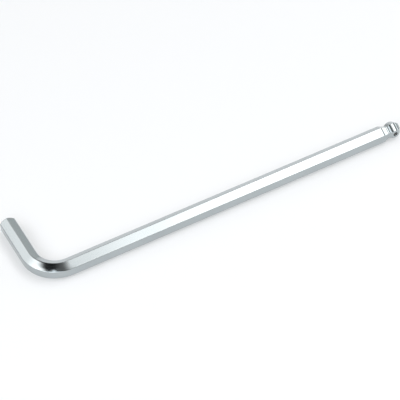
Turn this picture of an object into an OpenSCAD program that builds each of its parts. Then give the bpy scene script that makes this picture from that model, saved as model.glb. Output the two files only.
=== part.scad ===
// Ball-end hex key: a hexagon bar bent into an L, with a plain driving end on the short arm
// and a ball-shaped driving end on the long arm. A small plug set into one flat of the ball
// holds the screw by friction. The key lies on its lower corners, with the L flat on the
// surface: the long arm points along +X, the short arm along +Y, and the origin is at the
// bottom centre of the whole key.

/* [Hexagon bar] */
// Distance across two opposite flats, the size of socket that the key drives
across_flats = 8; // [6:0.5:10]
// How far the rounded corners fall short of a sharp hexagon's
corner_loss = 0.08; // [0.04:0.02:0.3]

/* [Arms and bend] */
// Long arm from the short arm's outer flat to the end of the ball
long_arm = 208; // [130:1:300]
// Short arm from the long arm's outer flat to its end
short_arm = 46; // [30:1:80]
// Radius of the bend along the middle of the bar
bend_r = 15; // [9:0.5:24]
// How far the short arm's end chamfer runs in from the corners
end_chamfer = 0.6; // [0.2:0.1:1.5]
// Slope of that chamfer, measured from the end face
end_slope = 35; // [20:1:60]

/* [Ball head] */
// How much narrower the ball is than the bar, across its flats
ball_clearance = 0.16; // [0.04:0.02:0.5]
// How far beyond the axis each ball facet's arc has its centre
facet_drop = 0.7; // [0:0.1:1.2]
// Distance across the flats at the ball's flat end
tip_flats = 4.6; // [2.5:0.1:5.5]
// Slope of the ball's back, between its arc and the waist
climb_slope = 26; // [22:1:32]
// Depth of the waist below the bar's flats
neck_depth = 1.05; // [0.9:0.05:1.4]
// Radius of the waist
neck_r = 1.6; // [0.8:0.1:2.4]
// Slope of the shoulder between the bar and the waist
shoulder_slope = 20; // [15:1:30]
// Radius where the bar's flats turn down into the shoulder
shoulder_r = 3; // [1:0.5:4]
// How far the ball's sharp ridges are turned back at its widest section
ridge_loss = 0.08; // [0.02:0.02:0.2]
// Radius along the arm of the arc that they are turned back to
ridge_arc_r = 6; // [5.5:0.5:8]

/* [Retention plug] */
// Diameter of the blind hole in the ball's outer flat
hole_d = 2.4; // [1.2:0.1:2.6]
// Depth of that hole below the flat
hole_depth = 2.2; // [1:0.1:3.2]
// Chamfer around the mouth of the hole
mouth_chamfer = 0.15; // [0.05:0.01:0.3]
// Gap between the plug and the wall of its hole
plug_clearance = 0.02; // [0.01:0.01:0.1]
// How far the plug's rim lies below the flat
plug_recess = 0.5; // [0.1:0.05:0.8]
// Height of the plug's domed top above its rim
plug_dome = 0.5; // [0.1:0.05:0.7]

/* [Hidden] */

// Facets of a round surface in the preview
$fn = 96;
// A cutter or an envelope runs this far past what it cuts
past = 1;
// Colours of the plated steel and of the plug
steel = [0.76, 0.78, 0.8];
polymer = [0.24, 0.25, 0.25];

half_flats = across_flats / 2;
sharp_corner_r = half_flats / cos(30);
corner_r = sharp_corner_r - corner_loss;

// The frame is laid out from the crossing of the two arms' middle lines
long_axis = long_arm - half_flats;
short_axis = short_arm - half_flats;
origin_to_crossing = [half_flats - long_arm / 2, half_flats - short_arm / 2, corner_r];

// Half of the distance across flats at the ball, the waist and the flat end
ball_half = half_flats - ball_clearance / 2;
neck_half = half_flats - neck_depth;
tip_half = tip_flats / 2;

// The ball's arc about a point beyond the axis, from its straight back to the flat end
facet_r = ball_half + facet_drop;
nose = sqrt(pow(facet_r, 2) - pow(tip_half + facet_drop, 2));
ball_x = long_axis - nose;

// Corners of the head's outline, as places along the arm and heights above its axis: the back
// meets the ball's arc, then the waist's arc, and the shoulder meets that arc, then the bar's arc
back = [ball_x - facet_r * sin(climb_slope), facet_r * cos(climb_slope) - facet_drop];
waist_end_y = neck_half + neck_r * (1 - cos(climb_slope));
waist_end = [back.x - (back.y - waist_end_y) / tan(climb_slope), waist_end_y];
neck_x = waist_end.x - neck_r * sin(climb_slope);
foot = [neck_x - neck_r * sin(shoulder_slope), neck_half + neck_r * (1 - cos(shoulder_slope))];
brow_y = half_flats - shoulder_r * (1 - cos(shoulder_slope));
brow = [foot.x - (brow_y - foot.y) / tan(shoulder_slope), brow_y];
shoulder_x = brow.x - shoulder_r * sin(shoulder_slope);

// The ball is turned to this radius at its widest section
ball_turned_r = ball_half / cos(30) - ridge_loss;

// The hole's floor and the plug's rim, as distances from the ball's axis
hole_r = hole_d / 2;
hole_floor = ball_half - hole_depth;
plug_r = hole_r - plug_clearance;
plug_rim = ball_half - plug_recess;
dome_r = (pow(plug_r, 2) + pow(plug_dome, 2)) / (2 * plug_dome);

// Section of the bar with sharp corners: flats face the inner and outer side of the bend, corners
// face up and down. Each stretch of the bar is this section, cut by a round one that takes the
// corners back.
module sharp_section() {
    intersection() {
        strip(0);
        strip(60);
        strip(120);
    }
}

// Strip between two opposite flats of the section
module strip(turn) {
    rotate(turn) square([across_flats, 2 * across_flats], center = true);
}

// Two opposite facets of the long arm, from the bend to the end of the ball, turned about the
// arm: the bar's flats, a shoulder, a round waist and the ball's arcs
module facet_pair(turn) {
    rotate([turn, 0, 0]) difference() {
        union() {
            slab(0) arm_outline();
            slab(0) shoulder_arc();
            slab(0) mirror([0, 1]) shoulder_arc();
            slab(0) ball_arcs();
        }
        slab(past) waist_cut();
        slab(past) mirror([0, 1]) waist_cut();
    }
}

// An outline in the plane of the L, made thick enough to reach past the bar on both sides
module slab(extra) {
    height = 2 * across_flats + 2 * extra;
    translate([0, 0, -height / 2]) linear_extrude(height) children();
}

// Side view of the arm without its round stretches
module arm_outline() {
    upper_edge = [
        [bend_r, half_flats],
        [shoulder_x, half_flats],
        brow,
        foot,
        waist_end,
        back,
        [ball_x, back.y]
    ];
    lower_edge = [for (i = [len(upper_edge) - 1 : -1 : 0]) [upper_edge[i].x, -upper_edge[i].y]];
    polygon(concat(upper_edge, lower_edge));
}

// Round turn from the bar's flat into the shoulder's slope
module shoulder_arc() {
    intersection() {
        translate([shoulder_x, half_flats - shoulder_r]) circle(r = shoulder_r);
        translate([shoulder_x - past, 0]) square([brow.x - shoulder_x + 2 * past, half_flats + past]);
    }
}

// Two facets of the ball, each an arc about a point beyond the axis, cut flat at the end
module ball_arcs() {
    intersection() {
        translate([ball_x, -facet_drop]) circle(r = facet_r);
        translate([ball_x, facet_drop]) circle(r = facet_r);
        translate([neck_x, -across_flats]) square([long_axis - neck_x, 2 * across_flats]);
    }
}

// Cutter that rounds the waist between the shoulder and the ball
module waist_cut() {
    translate([neck_x, neck_half + neck_r]) circle(r = neck_r);
}

// Turned outline that the facets are cut into: the bar's corners, then the ball
module turned_blank() {
    rotate([0, 90, 0]) cylinder(r = corner_r, h = back.x);
    translate([ball_x, 0, 0]) rotate([0, 90, 0]) rotate_extrude() intersection() {
        translate([ball_turned_r - ridge_arc_r, 0]) circle(r = ridge_arc_r);
        translate([0, -ridge_arc_r]) square(2 * ridge_arc_r);
    }
}

// The six facets of the long arm and its ball, before their ridges are turned back
module sharp_arm() {
    intersection() {
        facet_pair(0);
        facet_pair(60);
        facet_pair(120);
    }
}

// Long arm and ball head
module long_arm_with_ball() {
    intersection() {
        sharp_arm();
        turned_blank();
    }
}

// Quarter turn of the bar from the short arm to the long arm
module bend() {
    translate([bend_r, bend_r, 0]) rotate(180) intersection() {
        rotate_extrude(angle = 90) translate([bend_r, 0]) sharp_section();
        rotate_extrude(angle = 90) translate([bend_r, 0]) circle(r = corner_r);
    }
}

// Short arm, from its driving end to the bend, with the end chamfered by a cone
module short_arm_with_chamfer() {
    straight = short_axis - bend_r;
    chamfer_r = sharp_corner_r - end_chamfer;
    chamfer_run = end_chamfer * tan(end_slope);
    translate([0, short_axis, 0]) rotate([90, 0, 0]) intersection() {
        linear_extrude(straight) sharp_section();
        cylinder(r = corner_r, h = straight);
        union() {
            cylinder(r1 = chamfer_r, r2 = sharp_corner_r, h = chamfer_run);
            translate([0, 0, chamfer_run]) cylinder(r = sharp_corner_r + past, h = straight);
        }
    }
}

// Blind hole for the plug, bored square into the ball's outer flat at its widest section
module plug_hole() {
    flare = mouth_chamfer + past;
    translate([ball_x, -hole_floor, 0]) rotate([90, 0, 0]) {
        cylinder(r = hole_r, h = hole_depth + past);
        translate([0, 0, hole_depth - mouth_chamfer])
            cylinder(r1 = hole_r, r2 = hole_r + flare, h = flare);
    }
}

module hex_key() {
    color(steel) translate(origin_to_crossing) difference() {
        union() {
            short_arm_with_chamfer();
            bend();
            long_arm_with_ball();
        }
        plug_hole();
    }
}

// Plug on the floor of its hole, with a domed top that rises from the sunk rim
module retention_plug() {
    straight = plug_rim - hole_floor;
    color(polymer) translate(origin_to_crossing) translate([ball_x, -hole_floor, 0]) rotate([90, 0, 0]) {
        cylinder(r = plug_r, h = straight);
        intersection() {
            translate([0, 0, straight + plug_dome - dome_r]) sphere(r = dome_r);
            cylinder(r = plug_r, h = hole_depth + past);
        }
    }
}

hex_key();
retention_plug();
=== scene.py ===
"""Ball-end hex key on a pale floor, in soft studio light, seen as in the photograph."""
import math

import bpy
from mathutils import Matrix, Vector


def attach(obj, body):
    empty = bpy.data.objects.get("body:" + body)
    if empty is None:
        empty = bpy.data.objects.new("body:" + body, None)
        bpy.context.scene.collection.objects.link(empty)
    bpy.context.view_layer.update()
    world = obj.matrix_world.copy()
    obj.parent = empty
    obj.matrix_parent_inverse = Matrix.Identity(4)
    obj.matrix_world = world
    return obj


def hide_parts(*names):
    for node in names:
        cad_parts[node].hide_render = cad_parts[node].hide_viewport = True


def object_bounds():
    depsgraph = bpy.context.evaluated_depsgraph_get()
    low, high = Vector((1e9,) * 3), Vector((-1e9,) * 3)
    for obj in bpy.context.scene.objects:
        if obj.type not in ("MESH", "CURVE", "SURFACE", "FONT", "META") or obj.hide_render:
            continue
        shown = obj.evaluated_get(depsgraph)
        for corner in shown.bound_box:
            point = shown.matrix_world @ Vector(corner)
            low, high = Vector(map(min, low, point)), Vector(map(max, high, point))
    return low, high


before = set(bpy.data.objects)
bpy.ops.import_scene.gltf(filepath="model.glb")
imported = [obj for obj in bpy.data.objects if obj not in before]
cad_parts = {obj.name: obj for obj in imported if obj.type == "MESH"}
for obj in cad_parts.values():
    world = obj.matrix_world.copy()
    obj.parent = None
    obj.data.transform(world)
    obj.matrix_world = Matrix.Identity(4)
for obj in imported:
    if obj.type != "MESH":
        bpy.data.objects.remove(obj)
cad_low, cad_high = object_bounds()

# Camera, in metres and degrees
CAMERA_PLACE = Vector((-0.28996, -0.62182, 0.71027))
CAMERA_AIM = Vector((-0.00887, -0.01223, 0.00454))
CAMERA_ROLL = -4.436
LENS_MM = 173.48
SENSOR_MM = 36.0

# Floor, in metres: a table lit from below, so that the shadows on it stay faint
FLOOR_SIZE = 6.0
FLOOR_COLOUR = (0.58, 0.587, 0.598)
FLOOR_ROUGHNESS = 0.9
FLOOR_SPECULAR = 0.1
FLOOR_GLOW_COLOUR = (1.0, 0.995, 0.99)
FLOOR_GLOW = 0.345

# Softboxes at the ceiling, in metres: name, low corner, high corner, radiance, colour and fades.
# Each fade is a direction, two places along it, and what is left of the light before the first
# place and beyond the second. They don't overlap, because a reflection shows only one of two.
CEILING = 1.0
NEUTRAL = (1.0, 1.0, 1.0)
COOL = (0.92, 0.965, 1.0)
SOFTBOXES = [
    ("right_softbox", (-0.2, -1.5), (1.4, 0.5), 3.2, NEUTRAL, [
        ("X", -0.15, 0.51, 0.05, 1.0),
        ("X", 0.62, 0.85, 1.0, 0.1),
    ]),
    ("far_right_softbox", (1.5, -1.3), (2.25, 0.6), 2.4, NEUTRAL, [
        ("X", 1.5, 1.8, 0.0, 1.0),
        ("X", 2.05, 2.25, 1.0, 0.0),
    ]),
    ("left_softbox", (-2.2, -0.31), (-0.62, 1.6), 2.45, NEUTRAL, [
        ("X", -0.84, -0.62, 1.0, 0.0),
        ("Y", 0.1, 0.85, 1.0, 0.59),
    ]),
    ("front_left_softbox", (-1.8, -1.9), (-0.62, -0.31), 3.2, COOL, []),
    ("front_softbox", (-0.62, -1.9), (-0.34, -0.31), 3.2, COOL, [
        ("X", -0.46, -0.36, 1.0, 0.0),
        ("Y", -0.4, -0.31, 1.0, 0.0),
    ]),
    ("middle_softbox", (-0.34, -1.9), (-0.2, -0.22), 0.16, NEUTRAL, [
        ("Y", -0.38, -0.22, 1.0, 0.0),
    ]),
    ("back_softbox", (-0.5, 0.8), (1.1, 1.8), 0.8, NEUTRAL, []),
]

# Room, seen by direction: its colour from low to overhead, and its strength from left to right
ROOM_LOW = 0.2
ROOM_OVERHEAD = 0.85
ROOM_LOW_COLOUR = (0.68, 0.71, 0.71)
ROOM_OVERHEAD_COLOUR = (0.003, 0.0036, 0.004)
ROOM_LEFT = 0.1
ROOM_RIGHT = 0.75
ROOM_LEFT_STRENGTH = 0.3
ROOM_RIGHT_STRENGTH = 1.0

# Most of a noise's values lie between these, and those of the fine streaks between the second two
NOISE_SPAN = (0.3, 0.7)
STREAK_SPAN = (0.35, 0.65)

# Steel: streaks across and along the bar, pits and drift of its tone, all in waves a metre, then
# the height of streaks and pits in metres, and how strongly they show
STREAKS_ACROSS = 3200.0
STREAKS_ALONG = 45.0
PITS = 2600.0
TONE_DRIFT = 38.0
STEEL_RELIEF = 0.000002
STREAK_STRENGTH = 0.6
PIT_STRENGTH = 0.4
# Its roughness between the streaks and on them, and the two ends of its tone
STEEL_BRIGHT = 0.09
STEEL_DULL = 0.15
STEEL_DARKER = (0.435, 0.47, 0.48)
STEEL_LIGHTER = (0.465, 0.5, 0.51)

# Plug: dark moulded plastic with a fine mottle, in waves a metre, its height in metres and how
# strongly it shows, then its roughness at both ends of the mottle
PLUG_COLOUR = (0.015, 0.0153, 0.016)
PLUG_SPECULAR = 1.0
PLUG_MOTTLE = 2400.0
PLUG_RELIEF = 0.00001
PLUG_STRENGTH = 0.5
PLUG_BRIGHT = 0.14
PLUG_DULL = 0.22

# The key's sizes, in millimetres
MM = 0.001
ACROSS_FLATS = 8.0
CORNER_LOSS = 0.08
BEND_R = 15.0
END_CHAMFER = 0.6
END_SLOPE = 35.0
BALL_CLEARANCE = 0.16
FACET_DROP = 0.7
TIP_FLATS = 4.6
CLIMB_SLOPE = 26.0
NECK_DEPTH = 1.05
NECK_R = 1.6
SHOULDER_SLOPE = 20.0
SHOULDER_R = 3.0
RIDGE_LOSS = 0.08
RIDGE_ARC_R = 6.0
HOLE_D = 2.4
HOLE_DEPTH = 2.2
MOUTH_CHAMFER = 0.15

# How far the edges between flats and corners are softened, in millimetres
SOFTNESS = 0.03

# Bending stretches the bar's outer corners. That lowers them by this much, in millimetres, and
# rounds the flats next to them over this angle of the section, in degrees
BEND_EASE = 0.09
BEND_EASE_ANGLE = 13.0

# Angles from the middle of a flat to the corner, in degrees, where the surface has its lines
FLAT_TO_CORNER = [0, 8, 16, 21, 24, 25.5, 26.5, 27.3, 28, 28.7, 29.4, 30]
# Rings of the surface along each stretch of the key
CHAMFER_STEPS = 16
SHORT_ARM_STEPS = 24
BEND_STEPS = 72
LONG_ARM_STEPS = 60
HEAD_STEPS = 108
# The head's fine rings begin this far before its shoulder, in millimetres
HEAD_LEAD = 1.0
# Sides of the hole, and how far its cutter runs past the ball, in millimetres
HOLE_SIDES = 64
CUTTER_PAST = 1.0
# Edges that turn by more than this stay sharp, in degrees
SHARP_EDGE = 24.0

# Worked out from the sizes above
HALF_FLATS = ACROSS_FLATS / 2
SHARP_CORNER_R = HALF_FLATS / math.cos(math.radians(30))
CORNER_R = SHARP_CORNER_R - CORNER_LOSS
LOW = cad_low / MM
HIGH = cad_high / MM
AXIS_X = LOW.x + HALF_FLATS
AXIS_Y = LOW.y + HALF_FLATS
AXIS_Z = (LOW.z + HIGH.z) / 2
BALL_HALF = HALF_FLATS - BALL_CLEARANCE / 2


def make_camera():
    data = bpy.data.cameras.new("camera")
    data.lens = LENS_MM
    data.sensor_width = SENSOR_MM
    data.clip_start = 0.01
    data.clip_end = 50.0
    camera = bpy.data.objects.new("camera", data)
    bpy.context.collection.objects.link(camera)
    look = (CAMERA_AIM - CAMERA_PLACE).to_track_quat("-Z", "Y").to_matrix().to_4x4()
    roll = Matrix.Rotation(math.radians(CAMERA_ROLL), 4, "Z")
    camera.matrix_world = Matrix.Translation(CAMERA_PLACE) @ look @ roll
    bpy.context.scene.camera = camera


def new_material(name):
    """A material with only its Principled shader and output, and that shader"""
    material = bpy.data.materials.new(name)
    material.use_nodes = True
    shader = material.node_tree.nodes["Principled BSDF"]
    return material, shader


def map_range(nodes, from_low, from_high, to_low, to_high):
    """Node that takes one range of values to another"""
    node = nodes.new("ShaderNodeMapRange")
    node.inputs["From Min"].default_value = from_low
    node.inputs["From Max"].default_value = from_high
    node.inputs["To Min"].default_value = to_low
    node.inputs["To Max"].default_value = to_high
    return node


def noise(nodes, scale, detail):
    """Noise node, with its waves to the metre"""
    node = nodes.new("ShaderNodeTexNoise")
    node.inputs["Scale"].default_value = scale
    node.inputs["Detail"].default_value = detail
    return node


def relief(nodes, strength, height):
    """Bump node, with its height in metres"""
    node = nodes.new("ShaderNodeBump")
    node.inputs["Strength"].default_value = strength
    node.inputs["Distance"].default_value = height
    return node


def colour_ramp(nodes, first, first_colour, second, second_colour):
    """Node that blends one colour into another between two values"""
    node = nodes.new("ShaderNodeValToRGB")
    ends = node.color_ramp.elements
    ends[0].position = first
    ends[0].color = (*first_colour, 1.0)
    ends[1].position = second
    ends[1].color = (*second_colour, 1.0)
    return node


def make_floor():
    material, shader = new_material("pale_floor")
    shader.inputs["Base Color"].default_value = (*FLOOR_COLOUR, 1.0)
    shader.inputs["Roughness"].default_value = FLOOR_ROUGHNESS
    shader.inputs["Specular IOR Level"].default_value = FLOOR_SPECULAR
    shader.inputs["Emission Color"].default_value = (*FLOOR_GLOW_COLOUR, 1.0)
    shader.inputs["Emission Strength"].default_value = FLOOR_GLOW
    mesh = bpy.data.meshes.new("floor")
    half = FLOOR_SIZE / 2
    corners = [(-half, -half, 0), (half, -half, 0), (half, half, 0), (-half, half, 0)]
    mesh.from_pydata(corners, [], [(0, 1, 2, 3)])
    mesh.materials.append(material)
    floor = bpy.data.objects.new("floor", mesh)
    bpy.context.collection.objects.link(floor)


def softbox(name, low, high, radiance, colour, fades):
    """Level softbox at the ceiling, facing down"""
    width = high[0] - low[0]
    depth = high[1] - low[1]
    light = bpy.data.lights.new(name, "AREA")
    light.shape = "RECTANGLE"
    light.size = width
    light.size_y = depth
    light.energy = radiance * math.pi * width * depth
    light.color = colour
    light.use_nodes = True
    nodes = light.node_tree.nodes
    links = light.node_tree.links
    emission = nodes["Emission"]
    place = nodes.new("ShaderNodeNewGeometry")
    split = nodes.new("ShaderNodeSeparateXYZ")
    links.new(place.outputs["Parametric"], split.inputs["Vector"])
    strength = None
    for direction, first, second, left_before, left_beyond in fades:
        start, length = (low[0], width) if direction == "X" else (low[1], depth)
        from_low = (first - start) / length
        from_high = (second - start) / length
        fade = map_range(nodes, from_low, from_high, left_before, left_beyond)
        fade.interpolation_type = "SMOOTHSTEP"
        links.new(split.outputs[direction], fade.inputs["Value"])
        if strength is None:
            strength = fade.outputs["Result"]
            continue
        both = nodes.new("ShaderNodeMath")
        both.operation = "MULTIPLY"
        links.new(strength, both.inputs[0])
        links.new(fade.outputs["Result"], both.inputs[1])
        strength = both.outputs["Value"]
    if strength is not None:
        links.new(strength, emission.inputs["Strength"])
    lamp = bpy.data.objects.new(name, light)
    bpy.context.collection.objects.link(lamp)
    lamp.location = ((low[0] + high[0]) / 2, (low[1] + high[1]) / 2, CEILING)


def make_world():
    """Dim room: pale near the horizon, most of all on the right, and dark overhead between the
    softboxes"""
    world = bpy.data.worlds.new("studio")
    world.use_nodes = True
    nodes = world.node_tree.nodes
    links = world.node_tree.links
    background = nodes["Background"]
    place = nodes.new("ShaderNodeTexCoord")
    split = nodes.new("ShaderNodeSeparateXYZ")
    ramp = colour_ramp(nodes, ROOM_LOW, ROOM_LOW_COLOUR, ROOM_OVERHEAD, ROOM_OVERHEAD_COLOUR)
    side = map_range(nodes, ROOM_LEFT, ROOM_RIGHT, ROOM_LEFT_STRENGTH, ROOM_RIGHT_STRENGTH)
    side.interpolation_type = "SMOOTHSTEP"
    links.new(place.outputs["Generated"], split.inputs["Vector"])
    links.new(split.outputs["X"], side.inputs["Value"])
    links.new(side.outputs["Result"], background.inputs["Strength"])
    links.new(split.outputs["Z"], ramp.inputs["Fac"])
    links.new(ramp.outputs["Color"], background.inputs["Color"])
    bpy.context.scene.world = world


def soft_min(first, second):
    """The smaller of two lengths, blended where they are almost equal"""
    low = min(first, second)
    gap = abs(first - second)
    return low - SOFTNESS * math.log(1 + math.exp(-gap / SOFTNESS))


def head_profile():
    """Stations along the ball head, from the bar to the end: distance from the ball's widest
    section, half of the distance across flats, and turned radius"""
    neck_half = HALF_FLATS - NECK_DEPTH
    facet_r = BALL_HALF + FACET_DROP
    nose = math.sqrt(facet_r ** 2 - (TIP_FLATS / 2 + FACET_DROP) ** 2)
    climb = math.radians(CLIMB_SLOPE)
    fall = math.radians(SHOULDER_SLOPE)
    back_x = -facet_r * math.sin(climb)
    back_half = facet_r * math.cos(climb) - FACET_DROP
    waist_end_half = neck_half + NECK_R * (1 - math.cos(climb))
    waist_end_x = back_x - (back_half - waist_end_half) / math.tan(climb)
    neck_x = waist_end_x - NECK_R * math.sin(climb)
    foot_x = neck_x - NECK_R * math.sin(fall)
    foot_half = neck_half + NECK_R * (1 - math.cos(fall))
    brow_half = HALF_FLATS - SHOULDER_R * (1 - math.cos(fall))
    brow_x = foot_x - (brow_half - foot_half) / math.tan(fall)
    shoulder_x = brow_x - SHOULDER_R * math.sin(fall)
    ball_turned_r = BALL_HALF / math.cos(math.radians(30)) - RIDGE_LOSS

    def half_at(x):
        if x < shoulder_x:
            return HALF_FLATS
        if x < brow_x:
            return HALF_FLATS - SHOULDER_R + math.sqrt(SHOULDER_R ** 2 - (x - shoulder_x) ** 2)
        if x < foot_x:
            return brow_half - (x - brow_x) * math.tan(fall)
        if x < waist_end_x:
            return neck_half + NECK_R - math.sqrt(NECK_R ** 2 - (x - neck_x) ** 2)
        if x < back_x:
            return waist_end_half + (x - waist_end_x) * math.tan(climb)
        return math.sqrt(facet_r ** 2 - x ** 2) - FACET_DROP

    def turned_at(x):
        if x < back_x:
            return CORNER_R
        return ball_turned_r - RIDGE_ARC_R + math.sqrt(RIDGE_ARC_R ** 2 - x ** 2)

    begin = shoulder_x - HEAD_LEAD
    places = [begin + (nose - begin) * i / HEAD_STEPS for i in range(HEAD_STEPS + 1)]
    return nose, [(x, half_at(x), turned_at(x)) for x in places]


def stations():
    """Every ring of the key, from the short arm's end to the ball's end: its centre, the direction
    of the bend's outer side, half of the distance across flats, turned radius, and distance along"""
    rings = []
    end_y = HIGH.y
    bend_y = AXIS_Y + BEND_R
    bend_x = AXIS_X + BEND_R
    run = END_CHAMFER * math.tan(math.radians(END_SLOPE))
    # Short arm: the chamfered end in fine steps, then its straight stretch
    for i in range(CHAMFER_STEPS + 1):
        along = run * i / CHAMFER_STEPS
        cone = SHARP_CORNER_R - END_CHAMFER * (1 - i / CHAMFER_STEPS)
        rings.append(((AXIS_X, end_y - along), (-1, 0), HALF_FLATS, min(cone, CORNER_R), along))
    straight = end_y - bend_y
    for i in range(1, SHORT_ARM_STEPS):
        along = run + (straight - run) * i / SHORT_ARM_STEPS
        rings.append(((AXIS_X, end_y - along), (-1, 0), HALF_FLATS, CORNER_R, along))
    # Bend
    for i in range(BEND_STEPS + 1):
        angle = math.radians(90) * i / BEND_STEPS
        out = (-math.cos(angle), -math.sin(angle))
        centre = (bend_x + BEND_R * out[0], bend_y + BEND_R * out[1])
        rings.append((centre, out, HALF_FLATS, CORNER_R, straight + BEND_R * angle))
    # Long arm, then its head
    nose, head = head_profile()
    ball_x = HIGH.x - nose
    before = straight + BEND_R * math.radians(90) - bend_x
    long_end = ball_x + head[0][0]
    for i in range(1, LONG_ARM_STEPS):
        x = bend_x + (long_end - bend_x) * i / LONG_ARM_STEPS
        rings.append(((x, AXIS_Y), (0, -1), HALF_FLATS, CORNER_R, before + x))
    for place, half, turned in head:
        rings.append(((ball_x + place, AXIS_Y), (0, -1), half, turned, before + ball_x + place))
    return rings, ball_x


def ring_angles():
    """Angles round the section, close together where the flats turn into the corners"""
    angles = []
    for side in range(6):
        middle = 60 * side
        angles += [middle - a for a in reversed(FLAT_TO_CORNER[1:-1])]
        angles += [middle + a for a in FLAT_TO_CORNER]
    return angles


def bend_ease(angle, out):
    """How far bending lowers the surface at an angle of the section: most at the outer corners and
    in the middle of the bend, and not at all on the arms"""
    from_outer_corner = abs((angle + 180) % 360 - 180) - 30
    near_corner = math.exp(-(from_outer_corner / BEND_EASE_ANGLE) ** 2)
    return BEND_EASE * math.sqrt(max(0, 2 * out[0] * out[1])) * near_corner


def make_key_surface():
    """The whole key as one surface, before the hole is cut"""
    rings, ball_x = stations()
    angles = ring_angles()
    around = len(angles)
    points = []
    for (x, y), out, half, turned, along in rings:
        for angle in angles:
            from_middle = math.radians((angle + 30) % 60 - 30)
            reach = soft_min(half / math.cos(from_middle), turned)
            reach -= bend_ease(angle, out)
            side = reach * math.cos(math.radians(angle))
            up = reach * math.sin(math.radians(angle))
            points.append(Vector((x + side * out[0], y + side * out[1], AXIS_Z + up)) * MM)
    faces = []
    for i in range(len(rings) - 1):
        for j in range(around):
            k = (j + 1) % around
            a, b = i * around + j, i * around + k
            faces.append((a, a + around, b + around, b))
    last = (len(rings) - 1) * around
    faces.append(tuple(range(around)))
    faces.append(tuple(last + j for j in range(around))[::-1])
    mesh = bpy.data.meshes.new("key_surface")
    mesh.from_pydata([tuple(p) for p in points], [], faces)
    # Grain coordinates in metres: round the section, and along the bar
    perimeter = 6 * ACROSS_FLATS / math.sqrt(3) * MM
    grain = mesh.uv_layers.new(name="grain")
    for face in mesh.polygons:
        wraps = {v % around for v in face.vertices} == {0, around - 1}
        for corner in face.loop_indices:
            vertex = mesh.loops[corner].vertex_index
            ring, place = divmod(vertex, around)
            turn = 1.0 if wraps and place == 0 else (angles[place] - angles[0]) / 360
            grain.data[corner].uv = (turn * perimeter, rings[ring][4] * MM)
    mesh.validate()
    mesh.update()
    piece = bpy.data.objects.new("key_surface", mesh)
    bpy.context.collection.objects.link(piece)
    return piece, ball_x


def hole_cutter(ball_x):
    """Cutter of the blind hole with its mouth chamfer, bored into the ball's outer flat"""
    hole_r = HOLE_D / 2
    # Radius and depth below the ball's flat: at the floor, at the chamfer and past the flat
    profile = [
        (hole_r, HOLE_DEPTH),
        (hole_r, MOUTH_CHAMFER),
        (hole_r + MOUTH_CHAMFER + CUTTER_PAST, -CUTTER_PAST),
    ]
    points = []
    for radius, depth in profile:
        for i in range(HOLE_SIDES):
            angle = 2 * math.pi * i / HOLE_SIDES
            points.append(Vector((
                ball_x + radius * math.cos(angle),
                AXIS_Y - BALL_HALF + depth,
                AXIS_Z + radius * math.sin(angle),
            )) * MM)
    floor = tuple(range(HOLE_SIDES))[::-1]
    lid = tuple(2 * HOLE_SIDES + i for i in range(HOLE_SIDES))
    faces = [floor, lid]
    for row in range(2):
        for i in range(HOLE_SIDES):
            k = (i + 1) % HOLE_SIDES
            a, b = row * HOLE_SIDES + i, row * HOLE_SIDES + k
            faces.append((a, b, b + HOLE_SIDES, a + HOLE_SIDES))
    mesh = bpy.data.meshes.new("hole_cutter")
    mesh.from_pydata([tuple(p) for p in points], [], faces)
    cutter = bpy.data.objects.new("hole_cutter", mesh)
    bpy.context.collection.objects.link(cutter)
    return cutter


def apply_modifiers(piece):
    """The piece's mesh is replaced by what its modifiers make of it"""
    graph = bpy.context.evaluated_depsgraph_get()
    made = bpy.data.meshes.new_from_object(piece.evaluated_get(graph))
    piece.modifiers.clear()
    piece.data = made


def make_key():
    piece, ball_x = make_key_surface()
    cutter = hole_cutter(ball_x)
    cut = piece.modifiers.new("plug_hole", "BOOLEAN")
    cut.operation = "DIFFERENCE"
    cut.solver = "EXACT"
    cut.object = cutter
    apply_modifiers(piece)
    bpy.data.objects.remove(cutter)
    piece.data.shade_smooth()
    piece.data.set_sharp_from_angle(angle=math.radians(SHARP_EDGE))
    piece.data.materials.clear()
    piece.data.materials.append(steel_material())
    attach(piece, "root")
    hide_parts("hex_key")


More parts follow.
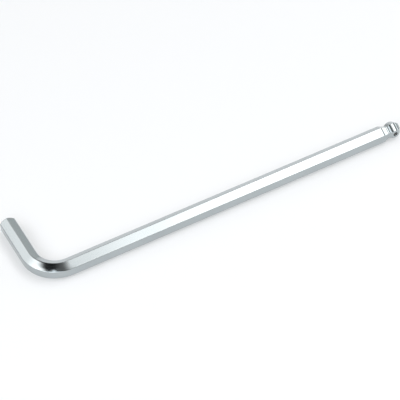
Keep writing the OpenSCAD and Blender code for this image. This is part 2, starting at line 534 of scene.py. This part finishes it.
def steel_material():
    material, shader = new_material("plated_steel")
    shader.inputs["Metallic"].default_value = 1.0
    nodes = material.node_tree.nodes
    links = material.node_tree.links
    grain = nodes.new("ShaderNodeUVMap")
    grain.uv_map = "grain"
    # Fine streaks drawn out along the bar
    stretch = nodes.new("ShaderNodeMapping")
    stretch.inputs["Scale"].default_value = (STREAKS_ACROSS, STREAKS_ALONG, 1.0)
    links.new(grain.outputs["UV"], stretch.inputs["Vector"])
    streaks = noise(nodes, 1.0, 3.0)
    links.new(stretch.outputs["Vector"], streaks.inputs["Vector"])
    dulled = map_range(nodes, *STREAK_SPAN, STEEL_BRIGHT, STEEL_DULL)
    links.new(streaks.outputs["Fac"], dulled.inputs["Value"])
    links.new(dulled.outputs["Result"], shader.inputs["Roughness"])
    # Slow drift of the plating's tone
    place = nodes.new("ShaderNodeTexCoord")
    drift = noise(nodes, TONE_DRIFT, 1.0)
    links.new(place.outputs["Object"], drift.inputs["Vector"])
    tone = colour_ramp(nodes, NOISE_SPAN[0], STEEL_DARKER, NOISE_SPAN[1], STEEL_LIGHTER)
    links.new(drift.outputs["Fac"], tone.inputs["Fac"])
    links.new(tone.outputs["Color"], shader.inputs["Base Color"])
    # Streaks and shallow pits in the surface itself
    pits = noise(nodes, PITS, 2.0)
    links.new(place.outputs["Object"], pits.inputs["Vector"])
    streak_bump = relief(nodes, STREAK_STRENGTH, STEEL_RELIEF)
    links.new(streaks.outputs["Fac"], streak_bump.inputs["Height"])
    pit_bump = relief(nodes, PIT_STRENGTH, STEEL_RELIEF)
    links.new(pits.outputs["Fac"], pit_bump.inputs["Height"])
    links.new(streak_bump.outputs["Normal"], pit_bump.inputs["Normal"])
    links.new(pit_bump.outputs["Normal"], shader.inputs["Normal"])
    return material


def plug_material():
    material, shader = new_material("dark_polymer")
    shader.inputs["Base Color"].default_value = (*PLUG_COLOUR, 1.0)
    shader.inputs["Specular IOR Level"].default_value = PLUG_SPECULAR
    nodes = material.node_tree.nodes
    links = material.node_tree.links
    place = nodes.new("ShaderNodeTexCoord")
    mottle = noise(nodes, PLUG_MOTTLE, 3.0)
    links.new(place.outputs["Object"], mottle.inputs["Vector"])
    dulled = map_range(nodes, *NOISE_SPAN, PLUG_BRIGHT, PLUG_DULL)
    links.new(mottle.outputs["Fac"], dulled.inputs["Value"])
    links.new(dulled.outputs["Result"], shader.inputs["Roughness"])
    bump = relief(nodes, PLUG_STRENGTH, PLUG_RELIEF)
    links.new(mottle.outputs["Fac"], bump.inputs["Height"])
    links.new(bump.outputs["Normal"], shader.inputs["Normal"])
    return material


def finish_node(name, material):
    """Gives a solid of the frame its material"""
    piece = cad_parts[name]
    piece.data.materials.clear()
    piece.data.materials.append(material)


make_camera()
make_floor()
make_world()
for box in SOFTBOXES:
    softbox(*box)
make_key()
finish_node("retention_plug", plug_material())

bpy.context.scene.view_settings.view_transform = "Standard"
